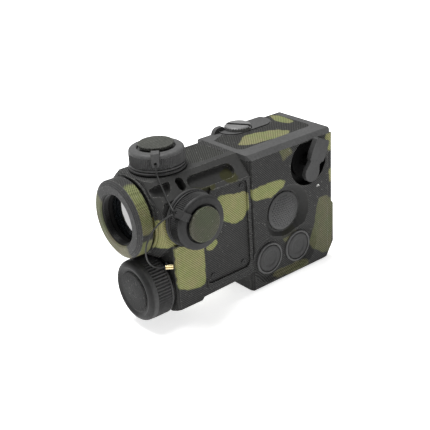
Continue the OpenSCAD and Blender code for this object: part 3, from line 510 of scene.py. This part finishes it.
BY_NODE = {
    "laser_housing": side_finish, "rear_housing": sight_finish, "side_cover": cover_finish,
    "top_plate": plate_finish, "adjuster_guard": plate_finish, "front_bezel": side_finish,
    "top_skin": skin_finish, "sight_skin": sight_skin_finish,
    "eyepiece_tube": tube_finish, "eyepiece_bezel": bezel_finish,
    "elevation_disc": disc_finish, "windage_disc": disc_finish,
    "elevation_base": flange_finish, "windage_base": flange_finish,
    "elevation_cap": top_cap_painted_light_finish, "windage_cap": side_cap_painted_shade_finish,
    "battery_cap": battery_finish, "battery_cap_disc": battery_disc_finish,
    "selector_lever": lever_finish, "selector_rotor": black_finish,
    "boresight_knob": knob_finish, "button_bezels": bezel_ring_finish,
    "fire_button": fire_finish, "left_button": button_finish, "right_button": button_finish,
    "elevation_tether_ring": top_cap_painted_light_finish, "windage_tether_ring": side_cap_painted_shade_finish,
    "battery_tether_ring": steel_finish, "tether_ferrules": brass_finish,
    "cover_screws": screw_finish, "bezel_screws": screw_finish,
}
BY_SLOT = {
    "anodised_side": side_finish, "anodised_top": plate_finish, "anodised_black": black_finish,
    "camo_skin": skin_finish, "textured_disc": disc_finish, "lever_grey": lever_finish,
    "button_rubber": button_finish, "rubber_seal": seal_finish, "black_internal": inside_finish,
    "black_steel": dark_steel_finish, "bare_steel": steel_finish, "brass": brass_finish,
    "coated_wire": wire_finish, "coated_glass": lens_finish, "red_glass": red_glass_finish,
    "circuit_board": board_finish, "chip_plastic": chip_finish, "white_plastic": plastic_finish,
    "battery_wrap": cell_finish,
}

slot_of = {part["node"]: part["material_slot"] for part in frame["record"]["subparts"]}
for name, piece in nodes.items():
    finish = BY_NODE.get(name) or BY_SLOT[slot_of[name]]
    piece.data.materials.clear()
    piece.data.materials.append(finish)


# ---------------------------------------------------------------- fine pieces

def new_piece(name, vertices, faces, finish, body, smooth=True):
    """A mesh piece in the row frame that rides on a body."""
    mesh = bpy.data.meshes.new(name)
    mesh.from_pydata(vertices, [], faces)
    mesh.update()
    work = bmesh.new()
    work.from_mesh(mesh)
    bmesh.ops.recalc_face_normals(work, faces=work.faces)
    work.to_mesh(mesh)
    work.free()
    mesh.polygons.foreach_set("use_smooth", [smooth] * len(mesh.polygons))
    mesh.materials.append(finish)
    piece = bpy.data.objects.new(name, mesh)
    bpy.context.scene.collection.objects.link(piece)
    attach(piece, body)
    return piece


def turned(profile, middle, axis, steps):
    """Closed profile of (radius, height) points turned about an axis; returns vertices and faces."""
    axis = Vector(axis)
    side = axis.orthogonal().normalized()
    other = axis.cross(side)
    vertices, faces = [], []
    for i in range(steps):
        angle = 2 * math.pi * i / steps
        out = side * math.cos(angle) + other * math.sin(angle)
        vertices += [tuple(Vector(middle) + out * r + axis * h) for r, h in profile]
    count = len(profile)
    for i in range(steps):
        for k in range(count):
            after, following = (k + 1) % count, (i + 1) % steps
            start, end = i * count, following * count
            faces.append((start + k, start + after, end + after, end + k))
    return vertices, faces


def add_fire_grip():
    """Staggered raised dots over the fire button's dome."""
    top = high_of("fire_button").x
    middle = centre("fire_button")
    edge = high_of("fire_button").y - middle.y
    dome = 2.4 * MM
    ball = (edge * edge + dome * dome) / (2 * dome)
    pitch, reach, half, height, sides = 1.2 * MM, edge - 1.5 * MM, 0.4 * MM, 0.2 * MM, 8
    vertices, faces = [], []
    rows = int(reach / pitch / 0.866) + 1
    for row in range(-rows, rows + 1):
        for column in range(-rows - 1, rows + 2):
            y = (column + (row % 2) / 2) * pitch
            z = row * pitch * 0.866
            if math.hypot(y, z) > reach:
                continue
            out = Vector((math.sqrt(ball * ball - y * y - z * z), y, z)).normalized()
            base = Vector((top - ball, middle.y, middle.z)) + out * ball
            first = len(vertices)
            side = out.orthogonal().normalized()
            other = out.cross(side)
            for radius, lift in ((half, -0.05 * MM), (half * 0.75, height * 0.6), (half * 0.35, height)):
                for k in range(sides):
                    angle = 2 * math.pi * k / sides
                    along = side * radius * math.cos(angle)
                    across = other * radius * math.sin(angle)
                    vertices.append(tuple(base + along + across + out * lift))
            for ring in range(2):
                for k in range(sides):
                    a, b = first + ring * sides + k, first + ring * sides + (k + 1) % sides
                    faces.append((a, b, b + sides, a + sides))
            faces.append(tuple(first + 2 * sides + k for k in range(sides)))
            faces.append(tuple(first + k for k in reversed(range(sides))))
    new_piece("fire_button_dots", vertices, faces, grip_finish, "fire_key")


def add_index_mark():
    """Small raised arch of white paint below the selector."""
    place = Vector((right_x, 16.4 * MM, 39.8 * MM))
    bend, thick, steps, sides = 0.62 * MM, 0.2 * MM, 14, 8
    vertices, faces = [], []
    for i in range(steps + 1):
        angle = math.radians(-25 + 230 * i / steps)
        out = Vector((0, math.cos(angle), math.sin(angle)))
        for k in range(sides):
            turn = 2 * math.pi * k / sides
            vertices.append(tuple(place + out * (bend + thick * math.cos(turn))
                                  + Vector((0.7 * thick * math.sin(turn), 0, 0))))
    for i in range(steps):
        for k in range(sides):
            a, b = i * sides + k, i * sides + (k + 1) % sides
            faces.append((a, b, b + sides, a + sides))
    faces.append(tuple(reversed(range(sides))))
    faces.append(tuple(steps * sides + k for k in range(sides)))
    new_piece("index_mark", vertices, faces, paint_finish, "root")


def add_stop_pin():
    """Round-headed stop pin on the floor of the selector's recess."""
    middle = centre("selector_rotor")
    place = (right_x - 4.7 * MM, middle.y - 6.6 * MM, middle.z + 7.1 * MM)
    profile = [(0.02, 0), (0.6, 0), (0.6, 1.5), (0.5, 1.85), (0.3, 2.0), (0.02, 2.05)]
    vertices, faces = turned([(r * MM, h * MM) for r, h in profile], place, (1, 0, 0), 20)
    new_piece("selector_stop_pin", vertices, faces, knob_finish, "root")


def add_baffle():
    """Fine anti-glare ridges in the mouth of the eyepiece."""
    mouth = low_of("eyepiece_bezel").y
    wall, root, tooth, pitch, start, count = 11.1, 10.96, 10.66, 0.42, 1.05, 6
    profile = [(wall, start - 0.1)]
    for i in range(count):
        profile += [(root, start + i * pitch), (tooth, start + (i + 0.5) * pitch)]
    profile += [(root, start + count * pitch), (wall, start + count * pitch + 0.1)]
    vertices, faces = turned([(r * MM, h * MM) for r, h in profile], (0, mouth, axis_z), (0, 1, 0), 96)
    new_piece("eyepiece_baffle", vertices, faces, baffle_finish, "root", smooth=False)


grip_finish = rubber("finish_grip", (0.058, 0.058, 0.058), 0.5)
baffle_finish = anodised("finish_baffle", (0.008, 0.008, 0.008), rough=0.35, wear=0.1, specular=0.3)
add_fire_grip()
add_index_mark()
add_stop_pin()
add_baffle()


# ---------------------------------------------------------------- floor, light and camera

def add_light(name, place, target, size, power):
    light = bpy.data.lights.new(name, "AREA")
    light.shape = "SQUARE"
    light.size = size
    light.energy = power
    lamp = bpy.data.objects.new(name, light)
    bpy.context.scene.collection.objects.link(lamp)
    lamp.location = place
    lamp.rotation_euler = (Vector(target) - Vector(place)).to_track_quat("-Z", "Y").to_euler()


def add_floor():
    mesh = bpy.data.meshes.new("floor")
    work = bmesh.new()
    bmesh.ops.create_grid(work, x_segments=1, y_segments=1, size=6)
    work.to_mesh(mesh)
    work.free()
    floor = bpy.data.objects.new("floor", mesh)
    bpy.context.scene.collection.objects.link(floor)
    floor.location.z = cad_box[0][2] - 0.0002
    shader = Shader("floor_paper")
    shader.set(Base_Color=grain(shader, (0.86, 0.86, 0.86), 0.01), Roughness=0.9)
    shader.principled.inputs["Emission Color"].default_value = (1, 1, 1, 1)
    shader.principled.inputs["Emission Strength"].default_value = 0.68
    mesh.materials.append(shader.material)


def add_world():
    world = bpy.data.worlds.new("studio")
    world.use_nodes = True
    bpy.context.scene.world = world
    world.node_tree.nodes["Background"].inputs["Color"].default_value = (1, 1, 1, 1)
    world.node_tree.nodes["Background"].inputs["Strength"].default_value = 0.32


def add_camera():
    """Camera at a high rear quarter, slightly rolled."""
    azimuth, elevation, roll = (math.radians(a) for a in (52.1, 24.98, 3.68))
    level_part = math.cos(elevation)
    back = Vector((math.sin(azimuth) * level_part, -math.cos(azimuth) * level_part, math.sin(elevation)))
    right = Vector((math.cos(azimuth), math.sin(azimuth), 0))
    up = back.cross(right)
    level = Matrix((right, up, back))
    tilt = Matrix.Rotation(roll, 3, "Z")
    camera = bpy.data.cameras.new("camera")
    camera.sensor_width = 36
    camera.lens = 72.25
    view = bpy.data.objects.new("camera", camera)
    bpy.context.scene.collection.objects.link(view)
    placed = (tilt @ level).transposed().to_4x4()
    placed.translation = Vector((0.2804, -0.2474, 0.1993))
    view.matrix_world = placed
    bpy.context.scene.camera = view


add_floor()
add_world()
add_camera()
bpy.context.scene.view_settings.view_transform = "Standard"
middle = (Vector(cad_box[0]) + Vector(cad_box[1])) / 2
add_light("key", (-0.2, -0.12, 1.0), middle, 0.55, 17)
